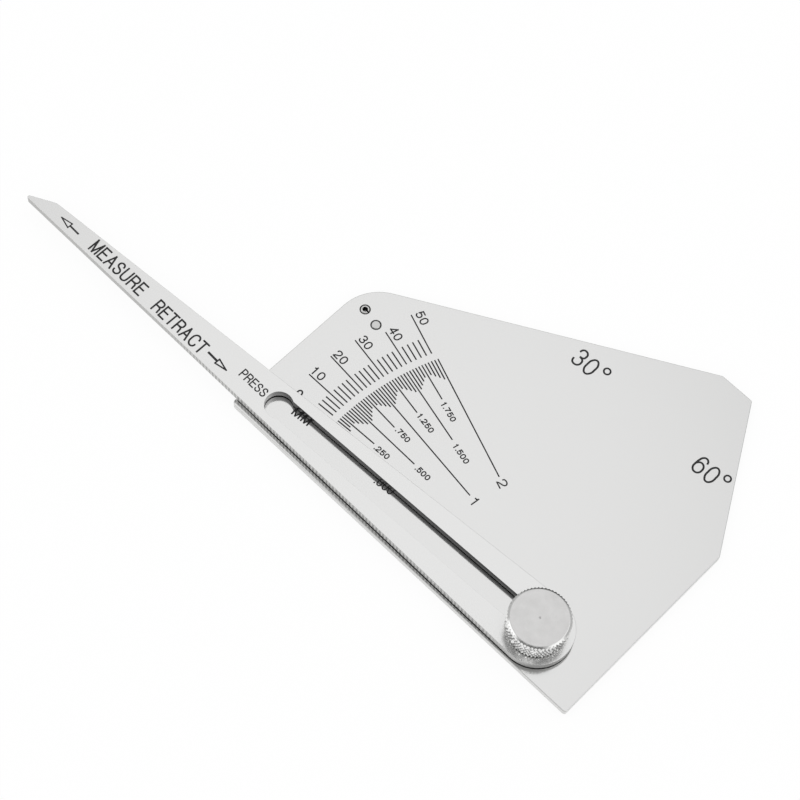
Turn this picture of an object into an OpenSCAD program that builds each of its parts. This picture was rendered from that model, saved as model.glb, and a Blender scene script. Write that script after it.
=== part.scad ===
// Fillet weld gauge: a flat plate with angled edges, and a pointed arm that
// swings and slides on a knob-clamped pivot.
// Origin: the pivot axis, on the plate's back face. +X runs along the base edge,
// away from the arm's point, +Y runs from the base into the plate, +Z is the marked face.

/* [Plate] */
// Length of the base edge
base_length = 76.2; // [60:0.1:95]
// Height at which the long sloping edge would meet the left edge
left_height = 31.75; // [26:0.05:40]
// Height of the right edge
right_height = 37.8; // [30:0.1:44]
// Length of the short flat at the top
top_flat = 6.6; // [3:0.1:12]
// Angle of the long sloping edge to the base
long_edge_angle = 30; // [28:0.5:32]
// Angle of the short sloping edge to the base
short_edge_angle = 60; // [56:0.5:64]
// Thickness of the plate
plate_t = 1.25; // [1:0.05:2]
// Radius of the large corner at the upper left
big_corner_r = 8.7; // [4:0.1:12]
// Radius of the corner at the left end of the base
base_corner_r = 0.8; // [0.3:0.1:2]
// Radius of the other corners
small_corner_r = 0.5; // [0.2:0.1:1.5]

/* [Pivot] */
// Distance of the pivot from the right edge
pivot_from_right = 12.6; // [9:0.1:20]
// Height of the pivot above the base
pivot_height = 6.72; // [6.6:0.02:10]
// Diameter of the stud
stud_d = 3; // [2.4:0.1:3.2]
// Diameter of the stud's flush head
stud_head_d = 4.8; // [4:0.1:6]
// Thickness of the stud's flush head
stud_head_t = 0.7; // [0.4:0.05:0.9]
// Wall of the bush's hub
hub_wall = 0.5; // [0.35:0.05:0.6]
// Diameter of the bush's flange
flange_d = 10; // [7:0.1:11]
// Gap that the flange holds between the plate and the arm
arm_gap = 0.3; // [0.25:0.01:0.8]
// Diameter of the washer under the knob
washer_d = 9; // [6:0.1:10]
// Thickness of the washer under the knob
washer_t = 0.35; // [0.2:0.05:0.8]

/* [Arm] */
// Thickness of the arm
arm_t = 1.5; // [1:0.05:2]
// Radius of the arm's round end
arm_end_r = 6.35; // [5.8:0.05:6.5]
// Distance from the pivot to the sharp corner of the point
arm_reach = 117.2; // [100:0.1:125]
// Width of the arm across its point
arm_point_w = 2.45; // [1.8:0.05:3.5]
// Angle between the arm's axis and the bevel of the point
point_angle = 26; // [20:0.5:40]
// Radius of the point
point_r = 0.3; // [0.1:0.05:0.4]
// Radius where the bevel meets the upper edge
bevel_r = 3; // [1:0.1:5]
// Travel of the arm along its slot
slot_travel = 57.15; // [40:0.05:60]
// Width that the round hole at the slot's far end has beyond the slot
keyhole_extra = 0.8; // [0.4:0.05:1.4]
// Angle that the arm stands above its zero
rest_rise = 0.5; // [0:0.05:2]

/* [Knob] */
// Diameter over the knurl's peaks
knob_d = 10.6; // [9.5:0.1:13]
// Height of the knob
knob_h = 4.2; // [3.6:0.1:6]
// Thickness of the closed top over the bore
knob_roof_t = 0.8; // [0.6:0.1:1.5]
// Width of the sloping edge round the top
knob_edge_w = 0.55; // [0.45:0.05:1]
// Height of the sloping edge round the top
knob_edge_h = 0.6; // [0.2:0.05:0.8]
// Height of the sloping edge round the bottom
knob_foot_h = 0.25; // [0.1:0.05:0.5]
// Depth of the knurl
knurl_depth = 0.28; // [0.1:0.02:0.4]
// Diamonds round the knob
knurl_count = 36; // [24:1:44]
// Half diamonds along the knob's height
knurl_rows = 8; // [4:1:10]

/* [Pins] */
// Diameter of the two pins
pin_d = 1.6; // [1.2:0.05:2.2]
// Height of the pins' ends above the plate
pin_proud = 0.1; // [0.05:0.01:0.15]
// Distance of the spring pin from the left edge
spring_pin_from_left = 3.2; // [2.5:0.1:4.5]
// Distance of the spring pin below the left end of the long sloping edge
spring_pin_drop = 3.15; // [2.5:0.05:10]
// Distance between the two pins along the base
pin_step_x = 3.4; // [2.8:0.1:8]
// Height of the dowel pin below the spring pin
pin_step_y = 0.8; // [0:0.1:4]
// Wall of the spring pin
spring_pin_wall = 0.35; // [0.25:0.05:0.45]
// Width of the spring pin's slit
spring_pin_slit = 0.25; // [0.1:0.01:0.3]
// Height of the sloping edge on the pins' ends
pin_edge = 0.1; // [0.05:0.01:0.25]

/* [Clearances] */
// Gap round a pressed-in stud or pin
seat_gap = 0.02; // [0.01:0.005:0.03]
// Radial gap of the parts that turn on the stud
turn_gap = 0.05; // [0.03:0.005:0.1]
// Radial gap of the bush's hub in the slot
slot_gap = 0.05; // [0.03:0.005:0.1]
// Depth of the hub's end below the arm's upper face
hub_drop = 0.1; // [0.05:0.01:0.3]
// Depth of the pins' lower ends above the back face
pin_inset = 0.05; // [0:0.01:0.2]
// Clear depth of the knob's bore beyond the stud
bore_spare = 0.4; // [0.1:0.05:0.8]

/* [Hidden] */
$fn = 96;

// Edges and corners of the plate, seen from the pivot
x_right = pivot_from_right;
x_left = pivot_from_right - base_length;
y_base = -pivot_height;
y_left = y_base + left_height;
y_right = y_base + right_height;
long_run = 1 / tan(long_edge_angle);
short_run = 1 / tan(short_edge_angle);
y_top = (base_length - top_flat + y_left * long_run + y_right * short_run) / (long_run + short_run);
x_top_left = x_left + (y_top - y_left) * long_run;
x_top_right = x_right - (y_top - y_right) * short_run;
PLATE_CORNERS = [
    [[x_left, y_base], base_corner_r],
    [[x_right, y_base], small_corner_r],
    [[x_right, y_right], small_corner_r],
    [[x_top_right, y_top], small_corner_r],
    [[x_top_left, y_top], small_corner_r],
    [[x_left, y_left], big_corner_r],
];

// Levels of the stack on the stud
z_arm = plate_t + arm_gap;
z_arm_top = z_arm + arm_t;
z_knob = z_arm_top + washer_t;

// Radii and depths of the parts that fit on the stud
stud_r = stud_d / 2;
turn_r = stud_r + turn_gap;
hub_r = turn_r + hub_wall;
slot_w = 2 * (hub_r + slot_gap);
knob_bore_h = knob_h - knob_roof_t;

// Outline of the arm: its axis is X, its point lies towards -X, its edges touch the round end
half_point_w = arm_point_w / 2;
arm_half_taper = asin(arm_end_r / norm([arm_reach, half_point_w])) - atan(half_point_w / arm_reach);
end_tangent = arm_end_r * [sin(arm_half_taper), cos(arm_half_taper)];
half_width_at_pivot = arm_end_r / cos(arm_half_taper);
bevel_run = arm_point_w / (tan(point_angle) - tan(arm_half_taper));
x_bevel = bevel_run - arm_reach;
y_bevel = half_width_at_pivot + x_bevel * tan(arm_half_taper);
ARM_CORNERS = [
    [[-end_tangent.x, -end_tangent.y], 0],
    [[-end_tangent.x, end_tangent.y], 0],
    [[x_bevel, y_bevel], bevel_r],
    [[-arm_reach, -half_point_w], point_r],
];
arm_rest_angle = arm_half_taper - rest_rise;

// Places of the pins
spring_pin_at = [x_left + spring_pin_from_left, y_left - spring_pin_drop];
dowel_pin_at = spring_pin_at + [pin_step_x, -pin_step_y];
pin_r = pin_d / 2;
pin_top = plate_t + pin_proud;

// Overshoot of a cut past the face that it opens
cut = 1;

// Unit vector from one point to another
function toward(from, to) = (to - from) / norm(to - from);

// Neighbours of a corner in a closed list of corners
function before(corners, i) = corners[(i + len(corners) - 1) % len(corners)][0];
function after(corners, i) = corners[(i + 1) % len(corners)][0];

// Half of the angle between the two edges that meet at a corner
function half_angle(corners, i) =
    let (p = corners[i][0], u = toward(p, before(corners, i)), v = toward(p, after(corners, i)))
    acos(u * v) / 2;

// The two points where a corner's arc leaves its edges
function arc_ends(corners, i) =
    let (p = corners[i][0], reach = corners[i][1] / tan(half_angle(corners, i)))
    [p + reach * toward(p, before(corners, i)), p + reach * toward(p, after(corners, i))];

// The centre of a corner's arc
function arc_centre(corners, i) =
    let (p = corners[i][0],
         middle = toward(p, before(corners, i)) + toward(p, after(corners, i)))
    p + corners[i][1] / sin(half_angle(corners, i)) * middle / norm(middle);

// Convex outline whose corners carry their own radii
module rounded_outline(corners) {
    polygon([for (i = [0:len(corners) - 1]) each arc_ends(corners, i)]);
    for (i = [0:len(corners) - 1])
        if (corners[i][1] > 0)
            intersection() {
                translate(arc_centre(corners, i)) circle(r = corners[i][1]);
                polygon(concat([corners[i][0]], arc_ends(corners, i)));
            }
}

module pin_hole(at) {
    translate([at.x, at.y, -cut]) cylinder(r = pin_r + seat_gap, h = plate_t + 2 * cut);
}

module gauge_plate() {
    color("gainsboro") difference() {
        linear_extrude(plate_t) rounded_outline(PLATE_CORNERS);
        translate([0, 0, -cut]) cylinder(r = stud_r + seat_gap, h = plate_t + 2 * cut);
        translate([0, 0, -cut]) cylinder(d = stud_head_d + 2 * seat_gap, h = stud_head_t + cut);
        pin_hole(spring_pin_at);
        pin_hole(dowel_pin_at);
    }
}

module pivot_stud() {
    color("silver") {
        cylinder(d = stud_head_d, h = stud_head_t);
        cylinder(r = stud_r, h = z_knob + knob_bore_h - bore_spare);
    }
}

module pivot_bush() {
    color("silver") translate([0, 0, plate_t]) difference() {
        union() {
            cylinder(d = flange_d, h = arm_gap);
            cylinder(r = hub_r, h = arm_gap + arm_t - hub_drop);
        }
        translate([0, 0, -cut]) cylinder(r = turn_r, h = arm_gap + arm_t + 2 * cut);
    }
}

// Slot from the pivot to the round hole at its far end
module keyhole_slot() {
    circle(d = slot_w);
    translate([-slot_travel, -slot_w / 2]) square([slot_travel, slot_w]);
    translate([-slot_travel, 0]) circle(d = slot_w + keyhole_extra);
}

module pointer_arm() {
    color("whitesmoke") rotate([0, 0, arm_rest_angle]) translate([0, 0, z_arm])
        linear_extrude(arm_t) difference() {
            union() {
                rounded_outline(ARM_CORNERS);
                circle(r = arm_end_r);
            }
            keyhole_slot();
        }
}

module clamp_washer() {
    color("lightgray") translate([0, 0, z_arm_top]) difference() {
        cylinder(d = washer_d, h = washer_t);
        translate([0, 0, -cut]) cylinder(r = turn_r, h = washer_t + 2 * cut);
    }
}

// Points round one ring of the knob; a knurled ring alternates between peaks and valleys
function ring_points(radius, depth, z, shift) = [
    for (i = [0:2 * knurl_count - 1])
        let (a = 180 / knurl_count * i, r = radius - depth * ((i + shift) % 2))
        [r * cos(a), r * sin(a), z]
];

// Diamond-knurled body: a plain ring at the foot, the knurled rings, and the rim of the flat top
module knurled_body() {
    sides = 2 * knurl_count;
    knurl_h = knob_h - knob_edge_h - knob_foot_h;
    rings = concat(
        [ring_points(knob_d / 2 - knurl_depth, 0, 0, 0)],
        [for (row = [0:knurl_rows])
            ring_points(knob_d / 2, knurl_depth, knob_foot_h + knurl_h * row / knurl_rows, row)],
        [ring_points(knob_d / 2 - knob_edge_w, 0, knob_h, 0)]
    );
    last = len(rings) - 1;
    faces = concat(
        [[for (i = [0:sides - 1]) i]],
        [for (row = [0:last - 1], i = [0:sides - 1])
            let (j = (i + 1) % sides,
                 low = row * sides, high = low + sides,
                 rising = (row + i) % 2 == 0)
            each rising
                ? [[low + i, high + i, low + j], [low + j, high + i, high + j]]
                : [[low + i, high + i, high + j], [low + i, high + j, low + j]]],
        [[for (i = [sides - 1:-1:0]) last * sides + i]]
    );
    polyhedron(points = [for (ring = rings) each ring], faces = faces);
}

module knob() {
    color("lightgray") translate([0, 0, z_knob]) difference() {
        knurled_body();
        translate([0, 0, -cut]) cylinder(r = turn_r, h = cut + knob_bore_h);
    }
}

// Round pin with a sloping edge at its upper end
module pin_blank(at) {
    translate([at.x, at.y, pin_inset]) rotate_extrude() polygon([
        [0, 0],
        [pin_r, 0],
        [pin_r, pin_top - pin_inset - pin_edge],
        [pin_r - pin_edge, pin_top - pin_inset],
        [0, pin_top - pin_inset],
    ]);
}

module spring_pin() {
    color("dimgray") difference() {
        pin_blank(spring_pin_at);
        translate([spring_pin_at.x, spring_pin_at.y, -cut]) {
            cylinder(r = pin_r - spring_pin_wall, h = pin_top + 2 * cut);
            translate([0, -spring_pin_slit / 2, 0]) cube([pin_d, spring_pin_slit, pin_top + 2 * cut]);
        }
    }
}

module dowel_pin() {
    color("silver") pin_blank(dowel_pin_at);
}

gauge_plate();
pivot_stud();
pivot_bush();
pointer_arm();
clamp_washer();
knob();
spring_pin();
dowel_pin();
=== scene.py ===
"""Fillet weld gauge: a marked steel plate with a pointed arm under a knurled knob.

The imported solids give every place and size. This script dresses them with broken edges,
printed scales, a fine diamond knurl, satin and turned steel, and a plain white studio.
"""
import logging
import math
import random
from dataclasses import dataclass
from enum import Enum, IntEnum
from typing import Any, Dict, Iterable, List, Mapping, Optional, Sequence, Set, Tuple, Union

import bmesh
import bpy
from bmesh.types import BMEdge, BMesh, BMFace, BMVert
from bpy.types import Material, Node, NodeSocket, NodeTree, Object
from mathutils import Matrix, Quaternion, Vector


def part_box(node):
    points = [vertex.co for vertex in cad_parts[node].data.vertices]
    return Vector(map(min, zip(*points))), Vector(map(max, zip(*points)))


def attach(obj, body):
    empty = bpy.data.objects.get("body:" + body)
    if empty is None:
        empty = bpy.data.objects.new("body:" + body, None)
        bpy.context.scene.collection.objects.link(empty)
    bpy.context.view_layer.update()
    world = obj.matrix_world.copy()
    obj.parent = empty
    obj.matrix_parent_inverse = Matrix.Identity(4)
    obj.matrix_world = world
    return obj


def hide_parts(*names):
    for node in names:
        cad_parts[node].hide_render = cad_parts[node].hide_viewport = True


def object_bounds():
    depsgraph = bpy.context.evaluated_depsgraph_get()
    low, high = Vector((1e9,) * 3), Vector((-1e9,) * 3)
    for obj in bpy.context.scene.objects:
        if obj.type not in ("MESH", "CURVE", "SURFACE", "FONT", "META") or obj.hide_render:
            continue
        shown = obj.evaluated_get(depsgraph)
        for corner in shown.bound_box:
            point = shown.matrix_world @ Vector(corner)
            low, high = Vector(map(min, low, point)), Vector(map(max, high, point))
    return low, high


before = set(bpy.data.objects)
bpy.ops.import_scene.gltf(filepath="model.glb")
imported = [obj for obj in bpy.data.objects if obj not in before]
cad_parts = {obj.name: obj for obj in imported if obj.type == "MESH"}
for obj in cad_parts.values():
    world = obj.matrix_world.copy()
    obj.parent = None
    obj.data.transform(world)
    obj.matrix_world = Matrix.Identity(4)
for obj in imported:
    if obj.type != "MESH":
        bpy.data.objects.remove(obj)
CAD_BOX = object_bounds()

MM = 0.001
# Millimetres in an inch
INCH = 25.4
# Metres within which two places count as one
SAME_PLACE = 1e-6
# Slope of the arm's slot at rest
ARM_TURN = math.radians(2.007)
WHITE = (1.0, 1.0, 1.0, 1.0)
LOG = logging.getLogger("weld_gauge")

Point = Tuple[float, float]
Span = Tuple[float, float]
Colour = Tuple[float, float, float]
Settings = Optional[Mapping[str, Any]]
Sockets = Optional[Mapping[Union[int, str], Any]]


class Body(Enum):
    """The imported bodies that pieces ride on."""

    GAUGE = "gauge"
    BUSH = "bush"
    ARM = "arm"
    WASHER = "washer"
    KNOB = "knob"


class Form(Enum):
    """The ways in which a stroke runs through its points."""

    LINE = "straight"
    CURVE = "smooth"
    LOOP = "smooth and closed"


class Ramp(Enum):
    """The ways in which a value rises between two places."""

    SOFT = "SMOOTHSTEP"
    EVEN = "LINEAR"


class SheetFace(IntEnum):
    """The order of a sheet piece's finishes."""

    LEVEL = 0
    WALL = 1
    BORE = 2
    SEAT = 3


class TurnedFace(IntEnum):
    """The order of a turned piece's finishes."""

    OUTSIDE = 0
    BORE = 1


class KnobFace(IntEnum):
    """The order of the knob's finishes."""

    TOP = 0
    KNURL = 1
    SLOPE = 2


# Shader trees


class Signal:
    """A value socket of a shader tree whose arithmetic adds Math nodes."""

    def __init__(self, shading: "Shading", socket: NodeSocket) -> None:
        """Keeps the tree and the output socket that carries the value."""
        self.shading = shading
        self.socket = socket

    def _math(self, operation: str, first: "Operand", second: "Operand" = 0.0) -> "Signal":
        """Adds one Math node and gives its result."""
        return self.shading.signal("ShaderNodeMath", {"operation": operation}, {0: first, 1: second})

    def __add__(self, other: "Operand") -> "Signal":
        """Adds a value to the signal."""
        return self._math("ADD", self, other)

    def __radd__(self, other: "Operand") -> "Signal":
        """Adds the signal to a value."""
        return self._math("ADD", other, self)

    def __sub__(self, other: "Operand") -> "Signal":
        """Takes a value from the signal."""
        return self._math("SUBTRACT", self, other)

    def __rsub__(self, other: "Operand") -> "Signal":
        """Takes the signal from a value."""
        return self._math("SUBTRACT", other, self)

    def __mul__(self, other: "Operand") -> "Signal":
        """Multiplies the signal by a value."""
        return self._math("MULTIPLY", self, other)

    def __rmul__(self, other: "Operand") -> "Signal":
        """Multiplies a value by the signal."""
        return self._math("MULTIPLY", other, self)

    def __pow__(self, other: "Operand") -> "Signal":
        """Raises the signal to a power."""
        return self._math("POWER", self, other)

    def larger(self, other: "Operand") -> "Signal":
        """Gives the larger of the signal and a value."""
        return self._math("MAXIMUM", self, other)

    def wave(self) -> "Signal":
        """Gives the sine of the signal in radians."""
        return self._math("SINE", self)

    def swing(self) -> "Signal":
        """Shifts a signal from 0 to 1 so that its middle is at 0."""
        return self - 0.5


Operand = Union[Signal, float]


class Shading:
    """A shader tree that is filled through one node-making method."""

    def __init__(self, tree: NodeTree) -> None:
        """Empties the tree of a material or a world and keeps it."""
        self.tree = tree
        tree.nodes.clear()

    def node(self, kind: str, settings: Settings = None, sockets: Sockets = None) -> Node:
        """Makes one node.

        Args:
            kind: The node's type.
            settings: Properties that are set first.
            sockets: Values, signals or output sockets for the inputs, by name or number.

        Returns:
            The new node.
        """
        made = self.tree.nodes.new(kind)
        for name, value in (settings or {}).items():
            setattr(made, name, value)
        for key, value in (sockets or {}).items():
            source = value.socket if isinstance(value, Signal) else value
            if isinstance(source, NodeSocket):
                self.tree.links.new(source, made.inputs[key])
            else:
                made.inputs[key].default_value = source
        return made

    def signal(self, kind: str, settings: Settings = None, sockets: Sockets = None,
               output: Union[int, str] = 0) -> Signal:
        """Makes one node and gives one of its outputs as a signal."""
        return Signal(self, self.node(kind, settings, sockets).outputs[output])

    def object_place(self) -> NodeSocket:
        """Gives the place on the object in metres."""
        return self.node("ShaderNodeTexCoord").outputs["Object"]

    def axes(self) -> Tuple[Signal, Signal]:
        """Gives the place on the object along X and along Y, in metres."""
        parts = self.node("ShaderNodeSeparateXYZ", None, {0: self.object_place()}).outputs
        return Signal(self, parts["X"]), Signal(self, parts["Y"])

    def axis_radius(self) -> Signal:
        """Gives the distance in metres from the pivot axis, which is the object's Z axis."""
        across, along = self.axes()
        return (across * across + along * along) ** 0.5

    def noise(self, cell: Sequence[float], turn: Sequence[float] = (0.0, 0.0, 0.0),
              detail: float = 3.0, falloff: float = 0.55) -> Signal:
        """Gives a soft noise on object coordinates.

        Args:
            cell: Size in metres of the noise's cells along each axis.
            turn: Turn of the cells in radians about each axis.
            detail: Number of finer layers.
            falloff: Strength of each finer layer against the one before.

        Returns:
            The noise from 0 to 1.
        """
        place = self.node("ShaderNodeMapping", {"vector_type": "TEXTURE"},
                          {"Vector": self.object_place(), "Rotation": turn, "Scale": cell})
        return self.signal("ShaderNodeTexNoise", {"noise_dimensions": "3D"},
                           {"Vector": place.outputs[0], "Scale": 1.0, "Detail": detail,
                            "Roughness": falloff})

    def rise(self, value: Operand, start: float, end: float, ramp: Ramp = Ramp.SOFT) -> Signal:
        """Maps a value from 0 at the start to 1 at the end, and no further outside."""
        return self.signal("ShaderNodeMapRange", {"interpolation_type": ramp.value, "clamp": True},
                           {"Value": value, "From Min": start, "From Max": end})

    def tone(self, dark: Colour, light: Colour, factor: Signal) -> NodeSocket:
        """Mixes two colours, which are inputs 6 and 7 and output 2 of a Mix node."""
        return self.node("ShaderNodeMix", {"data_type": "RGBA", "clamp_factor": True},
                         {0: factor, 6: (*dark, 1.0), 7: (*light, 1.0)}).outputs[2]

    def bump(self, height: Signal, strength: float, depth: float) -> NodeSocket:
        """Turns a height from 0 to 1, which stands for a depth in metres, into a normal."""
        return self.node("ShaderNodeBump", None, {"Strength": strength, "Distance": depth,
                                                  "Height": height}).outputs[0]

    def blend(self, factor: Operand, first: Node, second: Node) -> Node:
        """Mixes two shaders."""
        return self.node("ShaderNodeMixShader", None,
                         {0: factor, 1: first.outputs[0], 2: second.outputs[0]})

    def end(self, shader: Node, output: str = "ShaderNodeOutputMaterial") -> None:
        """Ends the tree in a shader."""
        self.node(output, None, {"Surface": shader.outputs[0]})


# Finishes


def shade(colour: Colour, factor: float) -> Colour:
    """Scales a linear colour."""
    return tuple(channel * factor for channel in colour)


@dataclass(frozen=True)
class Finish:
    """A procedural finish whose fine marks change its shade, its gloss and its relief.

    The tones are the darkest and the lightest shade per colour, and the relief is the strength
    and the depth of the marks.
    """

    name: str
    colour: Colour
    roughness: float = 0.3
    tones: Span = (0.9, 1.1)
    gloss_swing: float = 0.2
    relief: Span = (0.2, 0.02 * MM)
    metallic: float = 1.0
    specular: float = 0.5
    mark_size: float = 0.34 * MM

    def material(self) -> Material:
        """Makes the material and fills its tree.

        Returns:
            The finished material.
        """
        material = bpy.data.materials.new(self.name)
        material.use_nodes = True
        self.dress(Shading(material.node_tree))
        return material

    def dress(self, shading: Shading) -> None:
        """Fills the tree with marks that are alike in all directions."""
        self.cover(shading, shading.noise([self.mark_size] * 3))

    def ends(self) -> Tuple[Colour, Colour]:
        """Gives the darkest and the lightest colour."""
        dark, light = self.tones
        return shade(self.colour, dark), shade(self.colour, light)

    def cover(self, shading: Shading, marks: Signal, shades: Optional[Signal] = None,
              dulling: Operand = 0.0) -> None:
        """Ends the tree in the finish's surface.

        Args:
            shading: The tree.
            marks: The fine marks, from 0 to 1.
            shades: What changes the shade, where that isn't the marks alone.
            dulling: What is added to the roughness besides the marks.
        """
        shader = shading.node("ShaderNodeBsdfPrincipled", None, {
            "Base Color": shading.tone(*self.ends(), shades or marks),
            "Metallic": self.metallic,
            "Roughness": self.roughness + self.gloss_swing * marks.swing() + dulling,
            "Specular IOR Level": self.specular,
            "Normal": shading.bump(marks, *self.relief)})
        shading.end(shader)


@dataclass(frozen=True)
class SatinSteel(Finish):
    """Sheet steel with a fine straight grain and faint broad clouds."""

    roughness: float = 0.12
    tones: Span = (0.965, 1.03)
    gloss_swing: float = 0.1
    relief: Span = (0.05, 0.004 * MM)
    mark_size: float = 0.09 * MM
    grain_length: float = 9.0 * MM
    grain_turn: float = 0.0
    cloud_size: float = 14.0 * MM
    cloud_share: float = 0.4
    cloud_swing: float = 0.08

    def dress(self, shading: Shading) -> None:
        """Fills the tree with the grain and the clouds.

        Args:
            shading: The empty tree.
        """
        grain = shading.noise((self.grain_length, self.mark_size, self.mark_size),
                              (0.0, 0.0, self.grain_turn))
        cloud = shading.noise([self.cloud_size] * 3, detail=2.0)
        self.cover(shading, grain, (1.0 - self.cloud_share) * grain + self.cloud_share * cloud,
                   self.cloud_swing * cloud.swing())


@dataclass(frozen=True)
class MilledEdge(Finish):
    """Cut edge of sheet steel, with slanting tool marks across its thickness."""

    tones: Span = (0.84, 1.06)
    gloss_swing: float = 0.25
    relief: Span = (0.35, 0.03 * MM)
    mark_length: float = 3.0 * MM
    slant: float = 0.6

    def dress(self, shading: Shading) -> None:
        """Fills the tree with the slanting marks."""
        cell = (self.mark_size, self.mark_size, self.mark_length)
        self.cover(shading, shading.noise(cell, (0.0, self.slant, 0.0)))


@dataclass(frozen=True)
class ScoredEdge(Finish):
    """Ground edge of the arm, scored across its thickness at an even pitch.

    Patches shift the scores and change their depth, and both the arm's round end and its point
    are smooth. The spans along the arm run from where the scores start to where they are full.
    """

    roughness: float = 0.6
    tones: Span = (0.5, 1.2)
    relief: Span = (0.3, 0.02 * MM)
    mark_size: float = 0.78 * MM
    mean_wear: float = 0.6
    score_wear: float = 0.5
    patch_size: float = 2.4 * MM
    patch_shift: float = 5.0
    least_patch: float = 0.3
    patch_swing: float = 1.1
    round_end: Span = (-2.0 * MM, -6.0 * MM)
    smooth_tip: Span = (-92.0 * MM, -62.0 * MM)

    def dress(self, shading: Shading) -> None:
        """Fills the tree with the scores.

        Args:
            shading: The empty tree.
        """
        along, _ = shading.axes()
        patches = shading.noise([self.patch_size] * 3)
        scores = (along * (math.tau / self.mark_size) + self.patch_shift * patches).wave()
        depth = shading.rise(along, *self.round_end) * shading.rise(along, *self.smooth_tip)
        patched = depth * (self.least_patch + self.patch_swing * patches)
        self.cover(shading, self.mean_wear + self.score_wear * scores * patched)


@dataclass(frozen=True)
class SlotEdge(Finish):
    """Wall of the arm's slot, dull and painted near black with shade along the slot, the shade lifting
    round the keyhole's far end where more light falls.
    """

    roughness: float = 0.35
    lit_end_colour: Colour = (0.5, 0.5, 0.5)
    lit_end_reach: Span = (-56.5 * MM, -59.3 * MM)
    ragged: float = 0.6 * MM
    least_mark: float = 0.8
    mark_swing: float = 0.4

    def dress(self, shading: Shading) -> None:
        """Fills the tree with the two colours.

        Args:
            shading: The empty tree.
        """
        along, _ = shading.axes()
        marks = shading.noise([self.mark_size] * 3)
        # The painted shade lifts towards the keyhole's far end, where more light falls.
        bright = shading.rise(along + self.ragged * marks.swing(), *self.lit_end_reach)
        self.cover(shading, marks, bright * (self.least_mark + self.mark_swing * marks))

    def ends(self) -> Tuple[Colour, Colour]:
        """Gives the painted shade along the slot and the lighter colour at its lit end."""
        return self.colour, self.lit_end_colour


@dataclass(frozen=True)
class TurnedSteel(Finish):
    """Lathe-turned steel with fine rings round the pivot axis."""

    roughness: float = 0.22
    tones: Span = (0.8, 1.12)
    gloss_swing: float = 0.12
    relief: Span = (0.12, 0.003 * MM)
    mark_size: float = 0.12 * MM
    smear_size: float = 1.6 * MM
    smear_share: float = 0.65
    smear_swing: float = 0.08

    def dress(self, shading: Shading) -> None:
        """Fills the tree with the rings and a broad smear.

        Args:
            shading: The empty tree.
        """
        rings = shading.signal("ShaderNodeTexNoise", {"noise_dimensions": "1D"},
                               {"W": shading.axis_radius() * (1.0 / self.mark_size), "Scale": 1.0,
                                "Detail": 2.0})
        smear = shading.noise([self.smear_size] * 3, detail=2.0)
        self.cover(shading, rings, (1.0 - self.smear_share) * rings + self.smear_share * smear,
                   self.smear_swing * smear.swing())


@dataclass(frozen=True)
class BrightSteel(Finish):
    """Bright steel with faint mottling, for slopes, pins and small turned parts."""

    roughness: float = 0.16
    tones: Span = (0.88, 1.05)
    gloss_swing: float = 0.14
    relief: Span = (0.06, 0.01 * MM)
    mark_size: float = 0.5 * MM


@dataclass(frozen=True)
class KnurledSteel(Finish):
    """Bright knurled steel whose grooves round the pivot axis are dull and painted dark with shade.

    The depths under the peaks are those at which the steel is at its darkest, with the painted groove
    shade full, and at its brightest.
    """

    roughness: float = 0.16
    gloss_swing: float = 0.1
    relief: Span = (0.06, 0.01 * MM)
    mark_size: float = 0.35 * MM
    groove_shade_colour: Colour = (0.25, 0.25, 0.25)
    groove_dulling: float = 0.3
    peak_radius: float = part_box("knob")[1].x
    dark_depth: float = 0.228 * MM
    bright_depth: float = 0.12 * MM
    least_mark: float = 0.75
    mark_swing: float = 0.5

    def dress(self, shading: Shading) -> None:
        """Fills the tree with the grooves and the mottling.

        Args:
            shading: The empty tree.
        """
        # Darker towards the grooves: painted shade in the knurl's creases.
        height = shading.rise(shading.axis_radius(), self.peak_radius - self.dark_depth,
                              self.peak_radius - self.bright_depth, Ramp.EVEN)
        mottle = shading.noise([self.mark_size] * 3)
        self.cover(shading, mottle, height * (self.least_mark + self.mark_swing * mottle),
                   self.groove_dulling * (1.0 - height))

    def ends(self) -> Tuple[Colour, Colour]:
        """Gives the painted shade of the grooves and the colour of the peaks."""
        return self.groove_shade_colour, self.colour


@dataclass(frozen=True)
class MarkInk(Finish):
    """Dark filling of the etched marks, slightly uneven."""

    roughness: float = 0.55
    tones: Span = (0.7, 1.35)
    relief: Span = (0.15, 0.01 * MM)
    metallic: float = 0.0
    specular: float = 0.3
    mark_size: float = 0.12 * MM


@dataclass(frozen=True)
class StudioFloor(Finish):
    """White floor that looks white, keeps a faint shadow of the object and is clear from below.

    The shadow's shares of open sky are those at which it is full and at which it ends.
    """

    white_share: float = 0.9
    shadow_reach: float = 2.0 * MM
    shadow_sky: Span = (0.15, 0.4)
    shadow_samples: int = 8

    def dress(self, shading: Shading) -> None:
        """Fills the tree with the paint, the white and the clear underside.

        Args:
            shading: The empty tree.
        """
        path = shading.node("ShaderNodeLightPath").outputs
        seen = Signal(shading, path["Is Camera Ray"])
        for ray in ("Is Glossy Ray", "Is Transmission Ray"):
            seen = seen.larger(Signal(shading, path[ray]))
        open_sky = shading.signal("ShaderNodeAmbientOcclusion", {"samples": self.shadow_samples},
                                  {"Distance": self.shadow_reach}, "AO")
        uncovered = shading.rise(open_sky, *self.shadow_sky, Ramp.EVEN)
        paint = shading.node("ShaderNodeBsdfDiffuse", None, {"Color": (*self.colour, 1.0)})
        white = shading.node("ShaderNodeEmission", None, {"Color": WHITE, "Strength": 1.0})
        floor = shading.blend(seen * uncovered * self.white_share, paint, white)
        below = shading.signal("ShaderNodeNewGeometry", None, None, "Backfacing")
        shading.end(shading.blend(below, floor, shading.node("ShaderNodeBsdfTransparent")))


# Meshes


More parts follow.
